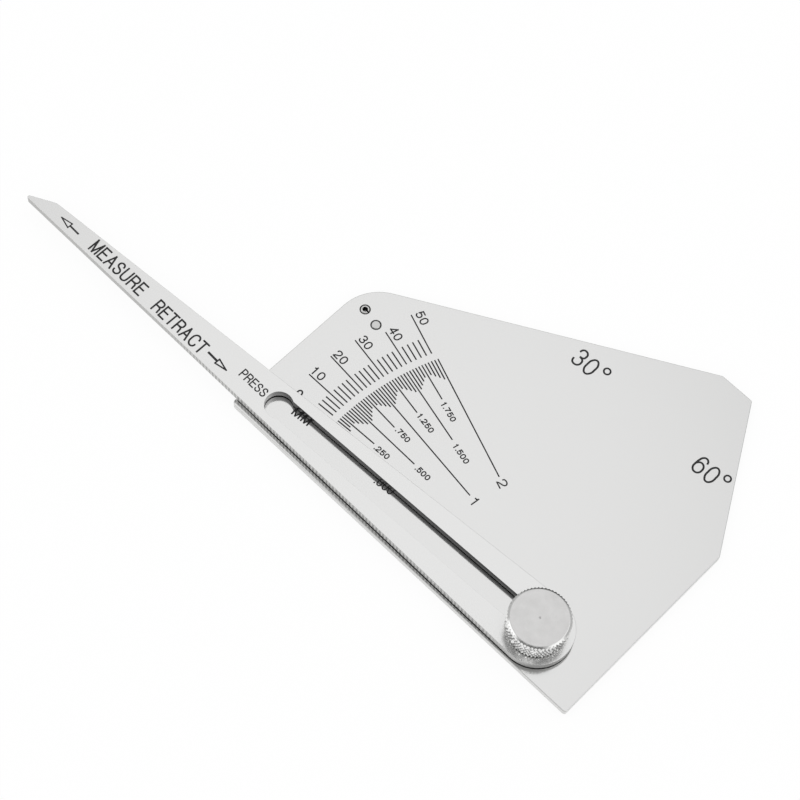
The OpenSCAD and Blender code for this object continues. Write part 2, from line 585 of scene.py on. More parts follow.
def merged_copy(node: str, join: float = 2e-6, flat_angle: float = 0.3) -> BMesh:
    """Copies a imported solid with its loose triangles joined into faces.

    Args:
        node: The CAD node.
        join: Distance in metres within which corners become one.
        flat_angle: Largest angle in degrees between triangles of one face.

    Returns:
        The joined copy.
    """
    bm = bmesh.new()
    bm.from_mesh(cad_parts[node].data)
    bmesh.ops.remove_doubles(bm, verts=bm.verts, dist=join)
    bmesh.ops.dissolve_limit(bm, angle_limit=math.radians(flat_angle), verts=bm.verts, edges=bm.edges)
    return bm


def sharp_edges(bm: BMesh, limit: float) -> List[BMEdge]:
    """Lists the edges where two faces turn by more than a limit in degrees."""
    return [edge for edge in bm.edges
            if len(edge.link_faces) == 2 and edge.calc_face_angle() > math.radians(limit)]


def break_edges(bm: BMesh, edges: Iterable[BMEdge], width: float, segments: int = 3) -> None:
    """Rounds edges to a width in metres by a number of strips."""
    bmesh.ops.bevel(bm, geom=list(edges), offset=width, offset_type="OFFSET", affect="EDGES",
                    segments=segments, profile=0.5, material=-1, clamp_overlap=False)


def shade_solid(bm: BMesh, limit: float = 40.0, level_share: float = 0.9999) -> None:
    """Shades a solid smooth, with crisp borders round its level faces and at sharp edges.

    Args:
        bm: The mesh.
        limit: Angle in degrees above which an edge stays crisp.
        level_share: Upright share of a normal from which a face counts as level.
    """
    bm.normal_update()
    for face in bm.faces:
        face.smooth = abs(face.normal.z) < level_share
    for edge in bm.edges:
        level = [abs(face.normal.z) > level_share for face in edge.link_faces]
        crisp = len(level) == 2 and (level[0] != level[1]
                                     or edge.calc_face_angle() > math.radians(limit))
        edge.smooth = not crisp


def new_object(bm: BMesh, name: str, finishes: Sequence[Finish]) -> Object:
    """Makes a mesh an object of the scene.

    Args:
        bm: The finished mesh, which is freed.
        name: The object's name.
        finishes: Its finishes, in the order of its faces' indices.

    Returns:
        The new object.
    """
    mesh = bpy.data.meshes.new(name)
    bm.to_mesh(mesh)
    bm.free()
    for finish in finishes:
        mesh.materials.append(finish.material())
    made = bpy.data.objects.new(name, mesh)
    bpy.context.scene.collection.objects.link(made)
    return made


def hand_over(piece: Object, body: Body, node: str = "") -> None:
    """Makes an object a piece of the part.

    Args:
        piece: The object.
        body: The body that it rides on.
        node: The CAD node that it stands for, where there is one.
    """
    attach(piece, body.value)
    if node:
        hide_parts(node)
    LOG.info("%s: %d faces, rides on %s", piece.name, len(piece.data.polygons), body.value)


# Solid pieces


@dataclass
class Piece:
    """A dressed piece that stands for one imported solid."""

    node: str
    name: str
    body: Body
    slot: str
    finishes: Sequence[Finish]

    def complete(self, bm: BMesh) -> None:
        """Makes the finished mesh the piece."""
        hand_over(new_object(bm, self.name, self.finishes), self.body, self.node)


@dataclass
class SheetPart(Piece):
    """A flat steel piece with broken edges and tool-marked walls.

    Slots lie along an axis through the pivot, no farther from it than their reach. The wall's
    limit and the last two spans are upright shares of a face's normal.
    """

    axis_turn: float = 0.0
    slot_reach: float = math.inf
    edge_break: float = 0.1 * MM
    foot_break: float = 0.05 * MM
    slot_break: float = 0.01 * MM
    sharp_angle: float = 60.0
    seats: Sequence[str] = ()
    seat_width: float = 0.16 * MM
    seat_margin: float = 0.05 * MM
    wall_limit: float = 0.5
    underside: Span = (-0.99, -0.1)
    seat_slope: Span = (0.05, 0.99)

    def build(self) -> None:
        """Builds the piece in place of its node."""
        bm = merged_copy(self.node)
        middle = sum(corner.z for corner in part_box(self.node)) / 2
        break_edges(bm, self._edges(bm, below=middle), self.foot_break)
        break_edges(bm, self._edges(bm), self.edge_break)
        break_edges(bm, self._edges(bm, slots=True), self.slot_break)
        known = set(bm.faces)
        if self.seats:
            break_edges(bm, self._seat_rims(bm), self.seat_width, segments=2)
        bmesh.ops.dissolve_degenerate(bm, dist=SAME_PLACE, edges=bm.edges)
        shade_solid(bm)
        self._mark_faces(bm, known)
        self.complete(bm)

    def _edges(self, bm: BMesh, below: float = math.inf, slots: bool = False) -> List[BMEdge]:
        """Lists sharp edges apart from the rims of the pins' holes.

        Args:
            bm: The mesh.
            below: Height that the edges lie under.
            slots: Whether the rims of slots on the axis are wanted too.

        Returns:
            The edges.
        """
        rims = self._seat_rims(bm)
        return [edge for edge in sharp_edges(bm, self.sharp_angle)
                if edge not in rims and (slots or not self._on_slot(edge))
                and all(vert.co.z < below for vert in edge.verts)]

    def _seat_rims(self, bm: BMesh) -> Set[BMEdge]:
        """Finds the upper rims of the holes that the seated pins stand in.

        Args:
            bm: The mesh.

        Returns:
            The rims' edges.
        """
        top = max(vert.co.z for vert in bm.verts)
        rims = set()
        for seat in self.seats:
            low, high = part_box(seat)
            middle = ((low + high) / 2).xy
            reach = (high.y - low.y) / 2 + self.seat_margin
            rims.update(edge for edge in bm.edges
                        if all(abs(vert.co.z - top) < SAME_PLACE
                               and (vert.co.xy - middle).length < reach for vert in edge.verts))
        return rims

    def _on_slot(self, edge: BMEdge) -> bool:
        """Tells whether an edge is on the rim of a slot."""
        return any(abs(face.normal.z) < self.wall_limit and self._is_inner(face)
                   for face in edge.link_faces)

    def _is_inner(self, face: BMFace) -> bool:
        """Tells whether a wall faces the piece's long axis through the pivot.

        Args:
            face: A wall face.

        Returns:
            True for the wall of a slot on the axis.
        """
        along = Vector((math.cos(self.axis_turn), math.sin(self.axis_turn), 0.0))
        middle = face.calc_center_median()
        aside = middle - along * middle.dot(along)
        return middle.xy.length < self.slot_reach and aside.xy.dot(face.normal.xy) < 0.0

    def _mark_faces(self, bm: BMesh, known: Set[BMFace]) -> None:
        """Gives walls, undersides and the slopes round the pins their finishes.

        Args:
            bm: The mesh.
            known: The faces that were there before the slopes.
        """
        for face in bm.faces:
            upright = face.normal.z
            # The slopes round the pins take the seat finish, which on the plate is near black: painted
            # shade in the hollows round the pins.
            if face not in known and self.seat_slope[0] < upright < self.seat_slope[1]:
                face.material_index = SheetFace.SEAT
            # Downward bevels take the bore's finish, which on the arm is near black: painted shade in
            # the gap under the arm.
            elif self.underside[0] < upright < self.underside[1]:
                face.material_index = SheetFace.BORE
            elif abs(upright) < self.wall_limit:
                face.material_index = SheetFace.BORE if self._is_inner(face) else SheetFace.WALL


@dataclass
class TurnedPart(Piece):
    """A small turned or rolled piece with rounded edges.

    A wall's normal has an upright share under the limit. The turns are shares of a normal that
    point away from the piece's axis, under which a wall or a rim belongs to the bore.
    """

    edge_break: float = 0.04 * MM
    sharp_angle: float = 30.0
    foot_relief: float = 0.0
    wall_limit: float = 0.3
    slit_turn: float = 0.5
    rim_turn: float = -0.1

    def build(self) -> None:
        """Builds the piece in place of its node."""
        bm = merged_copy(self.node)
        self._relieve_foot(bm)
        break_edges(bm, sharp_edges(bm, self.sharp_angle), self.edge_break, segments=2)
        shade_solid(bm)
        if len(self.finishes) > TurnedFace.BORE:
            self._mark_bore(bm)
        self.complete(bm)

    def _relieve_foot(self, bm: BMesh) -> None:
        """Lifts the underside by the relief, so that it clears the marks that slide under it."""
        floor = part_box(self.node)[0].z + SAME_PLACE
        bmesh.ops.translate(bm, vec=(0.0, 0.0, self.foot_relief),
                            verts=[vert for vert in bm.verts if vert.co.z < floor])

    def _mark_bore(self, bm: BMesh) -> None:
        """Gives the bore, its rims and the walls of the slit the bore's finish, near black as painted
        shade in the hollow.

        Args:
            bm: The mesh.
        """
        low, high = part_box(self.node)
        axis = ((low + high) / 2).xy
        for face in bm.faces:
            outward = face.normal.xy.dot((face.calc_center_median().xy - axis).normalized())
            wall = abs(face.normal.z) < self.wall_limit
            if outward < self.rim_turn or (wall and outward < self.slit_turn):
                face.material_index = TurnedFace.BORE


@dataclass
class ClampKnob(Piece):
    """The knob: a turned top with a sloping edge, a diamond knurl and a blind bore."""

    diamonds: int = 56
    rows: int = 6
    knurl_depth: float = 0.24 * MM
    peak_flat: float = 0.05 * MM
    peak_stray: float = 0.012 * MM
    edge_width: float = 0.46 * MM
    edge_height: float = 0.3 * MM
    foot_height: float = 0.06 * MM
    bore_radius: float = 1.55 * MM
    roof: float = 0.8 * MM
    pip_radius: float = 0.2 * MM
    pip_depth: float = 0.25 * MM
    rim_break: float = 0.05 * MM
    crisp_angle: float = 25.0

    def __post_init__(self) -> None:
        """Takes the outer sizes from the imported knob."""
        low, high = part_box(self.node)
        self.radius = (high.x - low.x) / 2
        self.rim = self.radius - self.edge_width
        self.foot, self.top = low.z, high.z
        self.knurl_low, self.knurl_high = self.foot + self.foot_height, self.top - self.edge_height
        self.row_height = (self.knurl_high - self.knurl_low) / self.rows

    def build(self) -> None:
        """Builds the knob in place of its node."""
        bm = self._spun_blank()
        self._finish_knurl(bm, self._cut_knurl(bm))
        self.complete(bm)

    def _profile(self) -> List[Point]:
        """Lists the half section from the centre mark round to the bore's end.

        Returns:
            Radii with heights.
        """
        bore_end = self.top - self.roof
        rings = [(self.radius, self.knurl_high - self.row_height * row) for row in range(self.rows + 1)]
        return [(0.0, self.top - self.pip_depth), (self.pip_radius, self.top), (self.rim, self.top),
                *rings, (self.radius - self.knurl_depth, self.foot), (self.bore_radius, self.foot),
                (self.bore_radius, bore_end), (0.0, bore_end)]

    def _spun_blank(self) -> BMesh:
        """Spins the half section about the pivot axis.

        Returns:
            The closed blank.
        """
        bm = bmesh.new()
        points = [bm.verts.new((radius, 0.0, height)) for radius, height in self._profile()]
        edges = [bm.edges.new(pair) for pair in zip(points, points[1:])]
        bmesh.ops.spin(bm, geom=points + edges, cent=(0.0, 0.0, 0.0), axis=(0.0, 0.0, 1.0),
                       angle=math.tau, steps=2 * self.diamonds, use_merge=True)
        bmesh.ops.remove_doubles(bm, verts=bm.verts, dist=SAME_PLACE)
        bmesh.ops.recalc_face_normals(bm, faces=bm.faces)
        return bm

    def _row_and_column(self, vert: BMVert) -> Tuple[int, int]:
        """Finds a knurl vertex's row from the foot and its column round the knob."""
        turn = math.atan2(vert.co.y, vert.co.x) * self.diamonds / math.pi
        return round((vert.co.z - self.knurl_low) / self.row_height), round(turn)

    def _cut_knurl(self, bm: BMesh) -> List[BMVert]:
        """Presses every second vertex of the knurl's rings inwards.

        Args:
            bm: The blank.

        Returns:
            The vertices that stay out as peaks between the first and last ring.
        """
        peaks = []
        stray = random.Random(self.diamonds)
        on_ring = {vert for vert in bm.verts if vert.co.xy.length > self.radius - SAME_PLACE}
        inward = 1.0 - self.knurl_depth / self.radius
        slope = self.edge_height / self.edge_width
        for vert in [vert for vert in bm.verts if vert in on_ring]:
            row, column = self._row_and_column(vert)
            if (row + column) % 2 == 1:
                vert.co.xy *= inward
                if row == self.rows:
                    vert.co.z += self.knurl_depth * slope
            elif 0 < row < self.rows:
                peaks.append(vert)
                turn = stray.uniform(-1.0, 1.0) * self.peak_stray / self.radius
                vert.co.xy = Matrix.Rotation(turn, 2) @ vert.co.xy
                vert.co.z += stray.uniform(-1.0, 1.0) * self.peak_stray
        knurl = [face for face in bm.faces if all(vert in on_ring for vert in face.verts)]
        for face in knurl:
            face.material_index = KnobFace.KNURL
        bmesh.ops.triangulate(bm, faces=knurl, quad_method="SHORT_EDGE", ngon_method="BEAUTY")
        return peaks

    def _finish_knurl(self, bm: BMesh, peaks: List[BMVert]) -> None:
        """Takes the tips off the peaks, breaks the rim and sets the shading.

        Args:
            bm: The knurled blank.
            peaks: The knurl's free peaks.
        """
        bmesh.ops.bevel(bm, geom=peaks, offset=self.peak_flat, offset_type="OFFSET",
                        affect="VERTICES", segments=1, profile=0.5, material=-1)
        round_rim = [edge for edge in bm.edges
                     if all(abs(vert.co.xy.length - self.rim) < SAME_PLACE
                            and abs(vert.co.z - self.top) < SAME_PLACE for vert in edge.verts)]
        break_edges(bm, round_rim, self.rim_break, segments=2)
        shade_solid(bm, self.crisp_angle)
        for face in bm.faces:
            if face.material_index == KnobFace.KNURL:
                face.smooth = False
            elif face.smooth and face.calc_center_median().xy.length > self.rim - self.rim_break:
                face.material_index = KnobFace.SLOPE


# Marks

LINE, CURVE, LOOP = Form

# Plain sans letters as strokes in a unit box: each has its width per cap height
LETTERS: Dict[str, Tuple[float, Sequence[Tuple[Form, Sequence[Point]]]]] = {
    "0": (0.56, ((LOOP, ((0.5, 1.0), (0.9, 0.84), (1.0, 0.5), (0.9, 0.16), (0.5, 0.0), (0.1, 0.16),
                         (0.0, 0.5), (0.1, 0.84))),)),
    "1": (0.5, ((LINE, ((0.5, 1.0), (0.5, 0.0))),
                (CURVE, ((0.5, 1.0), (0.4, 0.87), (0.21, 0.8), (0.0, 0.79))))),
    "2": (0.55, ((CURVE, ((0.0, 0.67), (0.1, 0.9), (0.5, 1.0), (0.9, 0.89), (0.98, 0.7), (0.86, 0.52),
                          (0.5, 0.33), (0.16, 0.16), (0.0, 0.0))),
                 (LINE, ((0.0, 0.0), (1.0, 0.0))))),
    "3": (0.55, ((CURVE, ((0.03, 0.74), (0.14, 0.92), (0.5, 1.0), (0.85, 0.9), (0.93, 0.75),
                          (0.82, 0.58), (0.4, 0.525))),
                 (CURVE, ((0.4, 0.525), (0.86, 0.46), (1.0, 0.27), (0.87, 0.08), (0.48, 0.0),
                          (0.12, 0.08), (0.0, 0.28))))),
    "4": (0.58, ((LINE, ((0.76, 1.0), (0.0, 0.27), (1.0, 0.27))), (LINE, ((0.76, 1.0), (0.76, 0.0))))),
    "5": (0.55, ((LINE, ((0.18, 1.0), (0.92, 1.0))), (LINE, ((0.18, 1.0), (0.06, 0.49))),
                 (CURVE, ((0.06, 0.49), (0.25, 0.61), (0.55, 0.64), (0.9, 0.54), (1.0, 0.32),
                          (0.88, 0.1), (0.5, 0.0), (0.14, 0.07), (0.0, 0.24))))),
    "6": (0.56, ((LOOP, ((0.5, 0.63), (0.88, 0.53), (1.0, 0.32), (0.88, 0.09), (0.5, 0.0),
                         (0.14, 0.09), (0.0, 0.34), (0.14, 0.53))),
                 (CURVE, ((0.0, 0.38), (0.06, 0.7), (0.22, 0.91), (0.53, 1.0), (0.83, 0.93),
                          (0.96, 0.77))))),
    "7": (0.55, ((LINE, ((0.0, 1.0), (1.0, 1.0))),
                 (CURVE, ((1.0, 1.0), (0.64, 0.62), (0.42, 0.28), (0.34, 0.0))))),
    ".": (0.0, ((LINE, ((0.0, 0.0), (0.0, 0.01))),)),
    "A": (0.64, ((LINE, ((0.0, 0.0), (0.5, 1.0), (1.0, 0.0))), (LINE, ((0.18, 0.34), (0.82, 0.34))))),
    "C": (0.64, ((CURVE, ((1.0, 0.68), (0.86, 0.92), (0.52, 1.0), (0.14, 0.87), (0.0, 0.5),
                          (0.14, 0.13), (0.52, 0.0), (0.87, 0.09), (1.0, 0.34))),)),
    "E": (0.52, ((LINE, ((0.0, 0.0), (0.0, 1.0), (1.0, 1.0))), (LINE, ((0.0, 0.53), (0.92, 0.53))),
                 (LINE, ((0.0, 0.0), (1.0, 0.0))))),
    "M": (0.67, ((LINE, ((0.0, 0.0), (0.0, 1.0), (0.5, 0.0), (1.0, 1.0), (1.0, 0.0))),)),
    "P": (0.54, ((LINE, ((0.0, 0.0), (0.0, 1.0), (0.6, 1.0))),
                 (CURVE, ((0.6, 1.0), (0.92, 0.91), (1.0, 0.73), (0.92, 0.55), (0.6, 0.46))),
                 (LINE, ((0.6, 0.46), (0.0, 0.46))))),
    "R": (0.58, ((LINE, ((0.0, 0.0), (0.0, 1.0), (0.62, 1.0))),
                 (CURVE, ((0.62, 1.0), (0.92, 0.92), (1.0, 0.75), (0.92, 0.59), (0.62, 0.5))),
                 (LINE, ((0.62, 0.5), (0.0, 0.5))),
                 (CURVE, ((0.6, 0.5), (0.88, 0.42), (0.95, 0.2), (1.02, 0.0))))),
    "S": (0.56, ((CURVE, ((0.93, 0.72), (0.84, 0.91), (0.5, 1.0), (0.14, 0.91), (0.05, 0.75),
                          (0.16, 0.6), (0.5, 0.52), (0.86, 0.43), (1.0, 0.26), (0.87, 0.08),
                          (0.5, 0.0), (0.13, 0.08), (0.0, 0.3))),)),
    "T": (0.58, ((LINE, ((0.0, 1.0), (1.0, 1.0))), (LINE, ((0.5, 1.0), (0.5, 0.0))))),
    "U": (0.58, ((LINE, ((0.0, 1.0), (0.0, 0.34))), (LINE, ((1.0, 1.0), (1.0, 0.34))),
                 (CURVE, ((0.0, 0.34), (0.12, 0.09), (0.5, 0.0), (0.88, 0.09), (1.0, 0.34))))),
}


@dataclass(frozen=True)
class Label:
    """A word or number that fills a box; lengths in millimetres, seen from the pivot."""

    text: str
    centre: Point
    size: Point
    width: float
    reading: float = 0.0


class Inlay:
    """Dark strokes that lie flush in a level steel face; lengths in millimetres."""

    curve_steps: int = 5
    round_steps: int = 2
    ring_knots: int = 8

    def __init__(self, level: float, letter_gap: float = 0.3, flatness: float = 0.13) -> None:
        """Starts an empty set of strokes.

        Args:
            level: Height of the steel face in metres.
            letter_gap: Space between the strokes of two letters, per cap height.
            flatness: Height of a stroke per width.
        """
        self.level = level
        self.letter_gap = letter_gap
        self.flatness = flatness
        self.curve = bpy.data.curves.new("strokes", "CURVE")
        self.curve.dimensions = "3D"
        self.curve.twist_mode = "Z_UP"
        self.curve.resolution_u = self.curve_steps
        # A knot's radius is then half of its stroke's width
        self.curve.bevel_depth = 1.0
        self.curve.bevel_resolution = self.round_steps
        self.curve.use_fill_caps = True

    def stroke(self, points: Sequence[Point], width: float, form: Form) -> None:
        """Adds one stroke.

        Args:
            points: The points that it runs through.
            width: Its width.
            form: Whether it is straight, curved or a closed loop.
        """
        straight = form is Form.LINE
        spline = self.curve.splines.new("POLY" if straight else "BEZIER")
        spline.use_cyclic_u = form is Form.LOOP
        knots = spline.points if straight else spline.bezier_points
        knots.add(len(points) - 1)
        for knot, point in zip(knots, points):
            knot.co = (*point, 0.0, 1.0) if straight else (*point, 0.0)
            knot.radius = width / 2
            if not straight:
                knot.handle_left_type = knot.handle_right_type = "AUTO"

    def bar(self, start: Point, end: Point, width: float, reach: float = 0.0) -> None:
        """Adds a straight line.

        Args:
            start: One end.
            end: The other end.
            width: Width of the line.
            reach: Length that it runs on past each end.
        """
        first, last = Vector(start), Vector(end)
        ahead = (last - first).normalized() * reach
        self.stroke((first - ahead, last + ahead), width, Form.LINE)

    def bars(self, points: Sequence[Point], width: float) -> None:
        """Adds a straight line between each point and the next, with square corners."""
        for start, end in zip(points, points[1:]):
            self.bar(start, end, width, width / 2)

    def ring(self, centre: Point, radius: float, width: float) -> None:
        """Adds a ring.

        Args:
            centre: Its centre.
            radius: Its outer radius.
            width: Width of its line.
        """
        middle = radius - width / 2
        turns = [math.tau * knot / self.ring_knots for knot in range(self.ring_knots)]
        self.stroke([(centre[0] + middle * math.cos(turn), centre[1] + middle * math.sin(turn))
                     for turn in turns], width, Form.LOOP)

    def arrow(self, tail: Point, tip: Point, head: Point, widths: Span) -> None:
        """Adds an arrow with an open head.

        Args:
            tail: The end of the shaft.
            tip: The point of the head.
            head: Length and width of the head.
            widths: Width of the shaft and of the head's outline.
        """
        first, last = Vector(tail), Vector(tip)
        ahead = (last - first).normalized()
        aside = Vector((-ahead.y, ahead.x)) * head[1] / 2
        neck = last - ahead * head[0]
        self.bar(first, neck, widths[0])
        self.bars((last, neck + aside, neck - aside, last), widths[1])

    def word(self, label: Label, turn: float) -> None:
        """Adds lettering that fills its box.

        Args:
            label: The text with its place and size.
            turn: Turn of the box in radians.
        """
        wide, high = (side - label.width for side in label.size)
        gaps = self.letter_gap * (len(label.text) - 1)
        across = wide / (sum(LETTERS[letter][0] for letter in label.text) + gaps)
        place = Matrix.Translation((*label.centre, 0.0)) @ Matrix.Rotation(turn, 4, "Z")
        start = -wide / 2
        for letter in label.text:
            share, strokes = LETTERS[letter]
            for form, points in strokes:
                spots = [(place @ Vector((start + x * share * across, (y - 0.5) * high, 0.0))).xy
                         for x, y in points]
                if form is Form.LINE:
                    self.bars(spots, label.width)
                else:
                    self.stroke(spots, label.width, form)
            start += (share + self.letter_gap) * across

    def build(self, name: str, ink: MarkInk, body: Body) -> None:
        """Makes the strokes a flat mesh and hands it over as one piece.

        Args:
            name: The piece's name.
            ink: The marks' finish.
            body: The body that they ride on.
        """
        holder = bpy.data.objects.new("strokes", self.curve)
        bpy.context.scene.collection.objects.link(holder)
        graph = bpy.context.evaluated_depsgraph_get()
        mesh = bpy.data.meshes.new_from_object(holder.evaluated_get(graph))
        bpy.data.objects.remove(holder)
        bpy.data.curves.remove(self.curve)
        mesh.transform(Matrix.Translation((0.0, 0.0, self.level))
                       @ Matrix.Diagonal((MM, MM, self.flatness * MM, 1.0)))
        bm = bmesh.new()
        bm.from_mesh(mesh)
        bpy.data.meshes.remove(mesh)
        bmesh.ops.remove_doubles(bm, verts=bm.verts, dist=SAME_PLACE)
        bmesh.ops.recalc_face_normals(bm, faces=bm.faces)
        for face in bm.faces:
            face.smooth = False
        hand_over(new_object(bm, name, [ink]), body)


@dataclass(frozen=True)
class LineFan:
    """Lines that touch a circle round the pivot, as the arm's upper edge does.

    Each line is turned by the angle at which the arm's point has risen by the reading.
    Lengths are in millimetres and angles in degrees.
    """

    zero_angle: float
    point_reach: float
    touch_radius: float = 6.47

    def turn(self, reading: float) -> float:
        """Gives the slope in radians of the line for a reading."""
        return math.radians(self.zero_angle) - math.asin(reading / self.point_reach)

    def place(self, reading: float, out: float) -> Point:
        """Finds a point on a reading's line.

        Args:
            reading: The reading.
            out: Distance along the line from where it touches the circle.

        Returns:
            The point.
        """
        slope = self.turn(reading)
        across = -self.touch_radius * math.sin(slope) - out * math.cos(slope)
        return across, self.touch_radius * math.cos(slope) - out * math.sin(slope)

    def line(self, marks: Inlay, reading: float, inner: float, outer: float, width: float) -> None:
        """Draws a reading's line from an inner to an outer distance."""
        marks.bar(self.place(reading, inner), self.place(reading, outer), width)


@dataclass
class PlateScales:
    """The plate's two scales and angle marks, seen from the pivot.

    The level is in metres and other lengths are in millimetres. The metric lines start and the
    inch lines end at a distance that grows with the reading.
    """

    ink: MarkInk
    level: float
    metric: LineFan = LineFan(5.1, 117.1)
    metric_start: float = 49.55
    metric_growth: float = 0.0475
    metric_length: float = 3.28
    metric_step: int = 2
    metric_top: int = 50
    inches: LineFan = LineFan(5.24, 115.85)
    inch_end: float = 48.3
    inch_growth: float = 1.19
    inch_steps: int = 20
    inch_top: int = 2
    fine_width: float = 0.255
    long_width: float = 0.24
    degree_radius: float = 0.75
    degree_width: float = 0.33

    def build(self) -> None:
        """Draws every line and label."""
        marks = Inlay(self.level)
        self._metric_lines(marks)
        self._inch_lines(marks)
        self._numbers(marks)
        self._angles(marks)
        marks.build("plate_scales", self.ink, Body.GAUGE)

    def _metric_lines(self, marks: Inlay) -> None:
        """Draws the line of every second millimetre, longer at the tens.

        Args:
            marks: The strokes to add to.
        """
        tens = {0: 8.25, 10: 8.25, 20: 8.4, 30: 8.4, 40: 7.05, 50: 8.15}
        for reading in range(0, self.metric_top + 1, self.metric_step):
            inner = self.metric_start + self.metric_growth * reading
            outer = inner + tens.get(reading, self.metric_length)
            width = self.long_width if reading in tens else self.fine_width
            self.metric.line(marks, reading, inner, outer, width)

    def _inch_lines(self, marks: Inlay) -> None:
        """Draws the line of every twentieth of an inch, longer towards the halves.

        Args:
            marks: The strokes to add to.
        """
        near_half = {1: 4.0, 2: 3.45, 3: 2.9, 4: 2.35}
        long_lines = {0: 14.55, 5: 7.3, 10: 14.55, 15: 7.35, 20: 24.6, 25: 7.35, 30: 14.6,
                      35: 7.2, 40: 23.9}
        half = self.inch_steps // 2
        for step in range(self.inch_top * self.inch_steps + 1):
            outer = self.inch_end + self.inch_growth * step / self.inch_steps
            away = min(step % half, half - step % half)
            inner = outer - (long_lines[step] if step in long_lines else near_half[away])
            width = self.long_width if step in long_lines else self.fine_width
            self.inches.line(marks, step * INCH / self.inch_steps, inner, outer, width)

    def _numbers(self, marks: Inlay) -> None:
        """Writes the plain numbers and the unit of the scales.

        Args:
            marks: The strokes to add to.
        """
        for label in (
                Label("0", (-56.87, 2.5), (1.12, 1.67), 0.3),
                Label("10", (-57.28, 7.48), (2.58, 1.67), 0.26, 10.0),
                Label("20", (-56.78, 12.4), (2.6, 1.67), 0.26, 20.0),
                Label("30", (-55.83, 17.45), (2.6, 1.67), 0.26, 30.0),
                Label("40", (-53.45, 22.32), (2.6, 1.67), 0.26, 40.0),
                Label("50", (-52.4, 27.75), (2.6, 1.67), 0.26, 50.0),
                Label("MM", (-53.5, -0.12), (3.6, 1.67), 0.3),
                Label(".000", (-34.95, 0.6), (3.6, 1.25), 0.23),
                Label(".250", (-39.53, 4.8), (3.0, 1.1), 0.225, 0.25 * INCH),
                Label(".500", (-32.1, 6.94), (3.0, 1.1), 0.225, 0.5 * INCH),
                Label(".750", (-39.28, 9.56), (3.0, 1.1), 0.225, 0.75 * INCH),
                Label("1", (-22.45, 9.4), (1.35, 1.75), 0.25, INCH),
                Label("1.250", (-38.17, 13.85), (3.95, 1.1), 0.225, 1.25 * INCH),
                Label("1.500", (-30.1, 14.05), (3.95, 1.1), 0.225, 1.5 * INCH),
                Label("1.750", (-36.93, 18.13), (3.9, 1.1), 0.225, 1.75 * INCH),
                Label("2", (-21.55, 15.06), (1.4, 1.75), 0.25, 2.0 * INCH)):
            marks.word(label, self.metric.turn(label.reading))

    def _angles(self, marks: Inlay) -> None:
        """Writes the angles of the two sloping edges, with their degree signs.

        Args:
            marks: The strokes to add to.
        """
        for label, degree in ((Label("30", (-27.0, 41.7), (4.5, 3.62), 0.36), (-23.25, 43.05)),
                              (Label("60", (0.71, 41.33), (4.58, 3.62), 0.36), (4.3, 42.7))):
            marks.word(label, 0.0)
            marks.ring(degree, self.degree_radius, self.degree_width)


@dataclass
class ArmLegends:
    """The arm's plain function words and arrows, seen from the pivot.

    The level is in metres, other lengths are in millimetres and the slope is in degrees.
    """

    ink: MarkInk
    level: float
    slope: float = -0.6
    letter_gap: float = 0.27
    arrow_head: Point = (2.25, 1.05)

    def build(self) -> None:
        """Draws the words and arrows."""
        marks = Inlay(self.level, self.letter_gap)
        for label in (Label("MEASURE", (-94.87, -3.47), (12.9, 2.68), 0.34),
                      Label("RETRACT", (-79.25, -3.74), (12.3, 2.62), 0.34),
                      Label("PRESS", (-62.95, -2.16), (5.9, 1.76), 0.25)):
            marks.word(label, math.radians(self.slope))
        for tail, tip, widths in (((-104.44, -3.94), (-108.97, -3.76), (0.34, 0.23)),
                                  ((-72.5, -3.62), (-67.94, -3.82), (0.42, 0.28))):
            marks.arrow(tail, tip, self.arrow_head, widths)
        marks.build("arm_legends", self.ink, Body.ARM)


# Studio


def sky_direction(azimuth: float, elevation: float) -> Vector:
    """Gives the unit vector for angles in degrees; azimuth 0 is the front, towards -Y."""
    turn, lift = math.radians(azimuth), math.radians(elevation)
    return Vector((math.sin(turn) * math.cos(lift), -math.cos(turn) * math.cos(lift), math.sin(lift)))


@dataclass(frozen=True)
class SkyPatch:
    """A soft round patch of the surround that is brighter or darker than the rest.

    Angles are in degrees; the change is full within the inner angle and ends at the outer one.
    """

    azimuth: float
    elevation: float
    inner: float
    outer: float
    change: float


